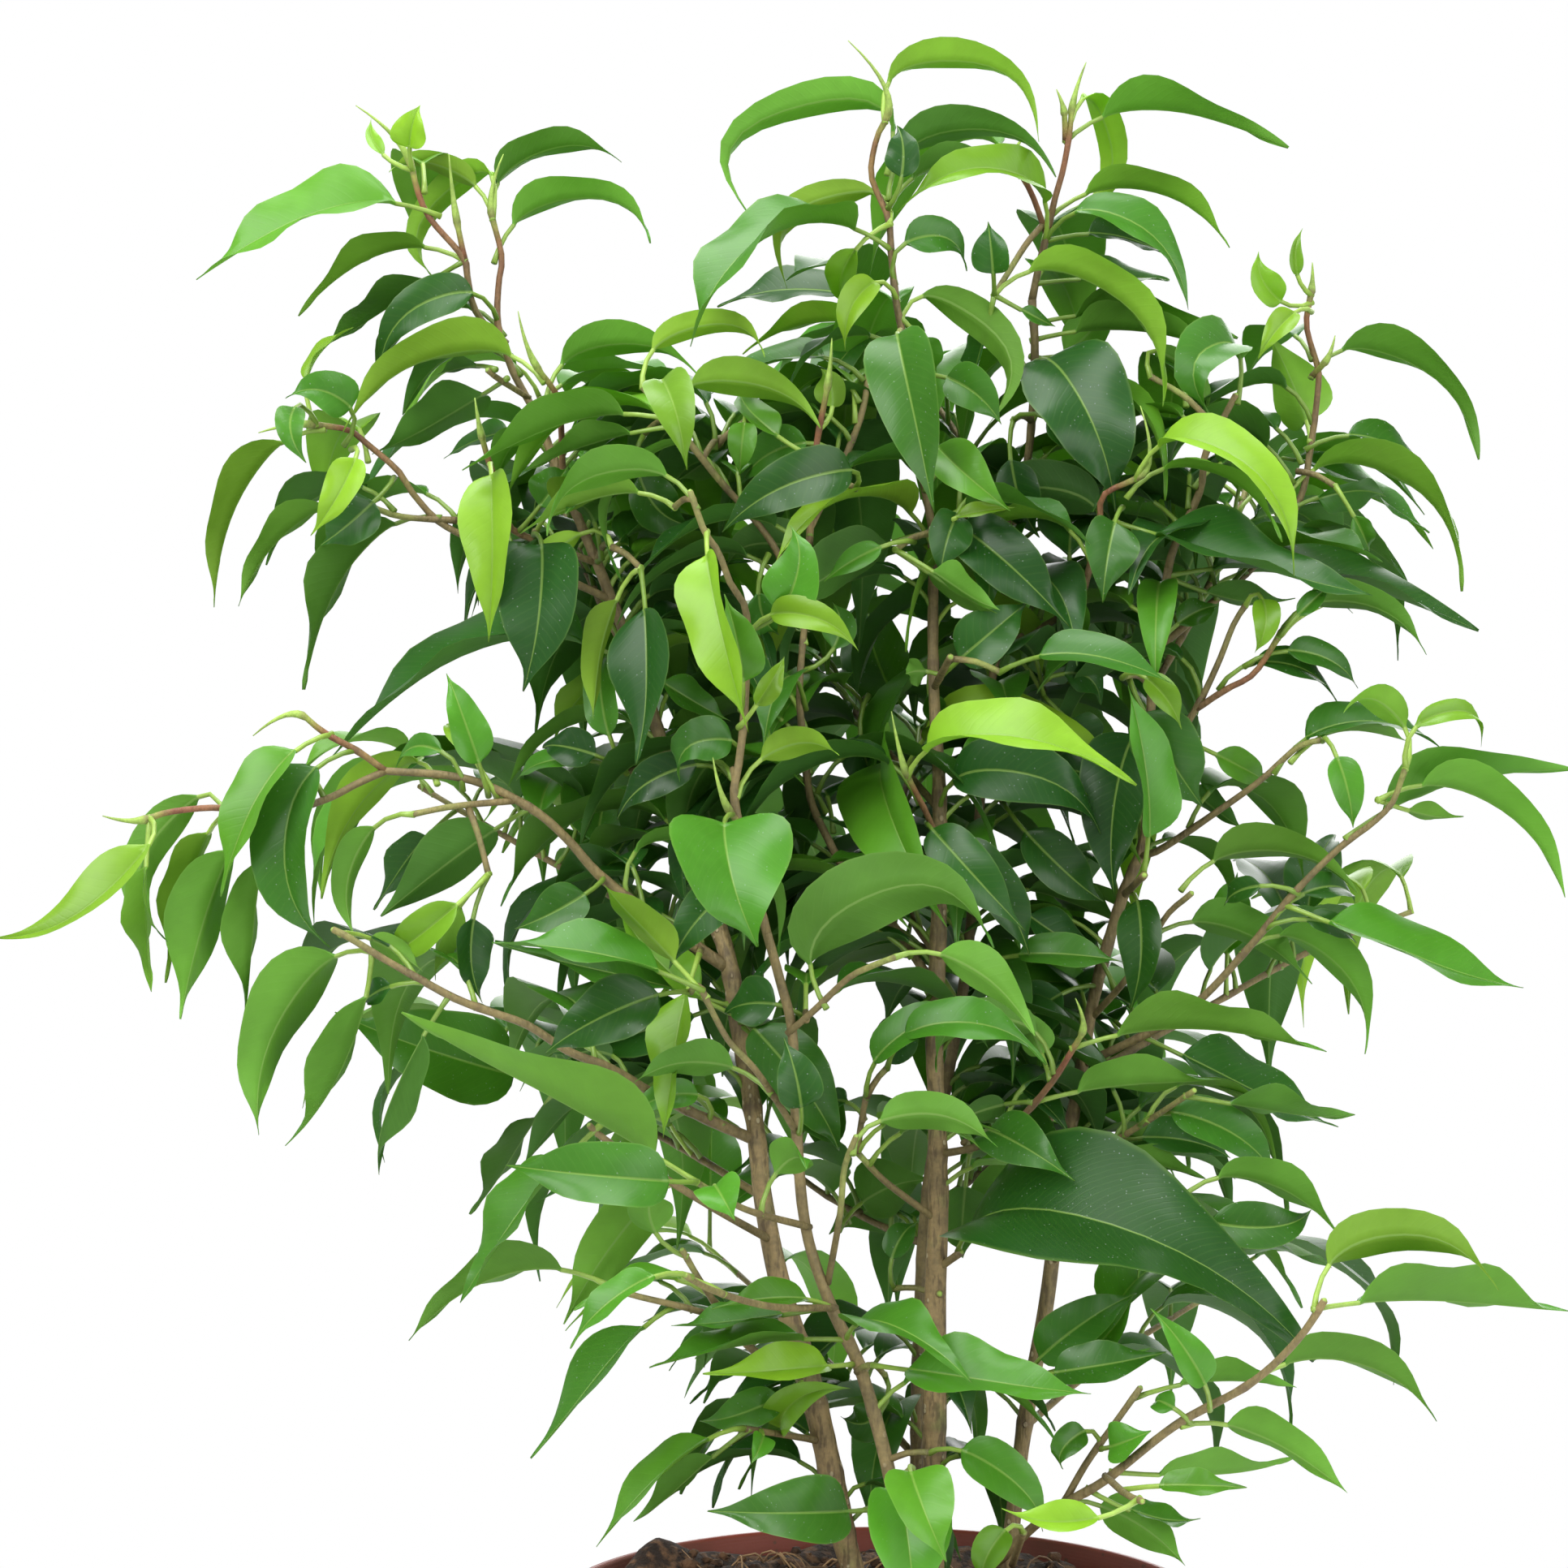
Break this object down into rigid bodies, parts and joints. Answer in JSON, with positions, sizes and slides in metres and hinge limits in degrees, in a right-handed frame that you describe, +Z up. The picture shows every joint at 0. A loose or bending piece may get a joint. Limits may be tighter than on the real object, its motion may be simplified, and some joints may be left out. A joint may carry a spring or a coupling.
{
  "type": "potted weeping fig",
  "caption": "Small-leaved weeping fig with several woody stems, drooping pointed leaves and bud spikes, standing in soil in a tapered plastic nursery pot.",
  "frame": {"origin": "middle of the pot's flat underside", "axes": "+Z up the pot's axis, -Y towards the viewer of the picture, +X to the viewer's right"},
  "size_m": [0.2775, 0.2049, 0.3929],
  "materials": {
    "pot_plastic": "satin terracotta-red plastic",
    "soil": "rough dark peat",
    "fig_green": "glossy green leaves on red-brown and grey-brown wood"
  },
  "bodies": {
    "root": {"pot": "pot_plastic", "soil": "soil", "stem_main": "fig_green", "stem_left": "fig_green", "stem_front": "fig_green", "stem_right": "fig_green", "stem_low": "fig_green", "stem_back": "fig_green"}
  },
  "joints": []
}
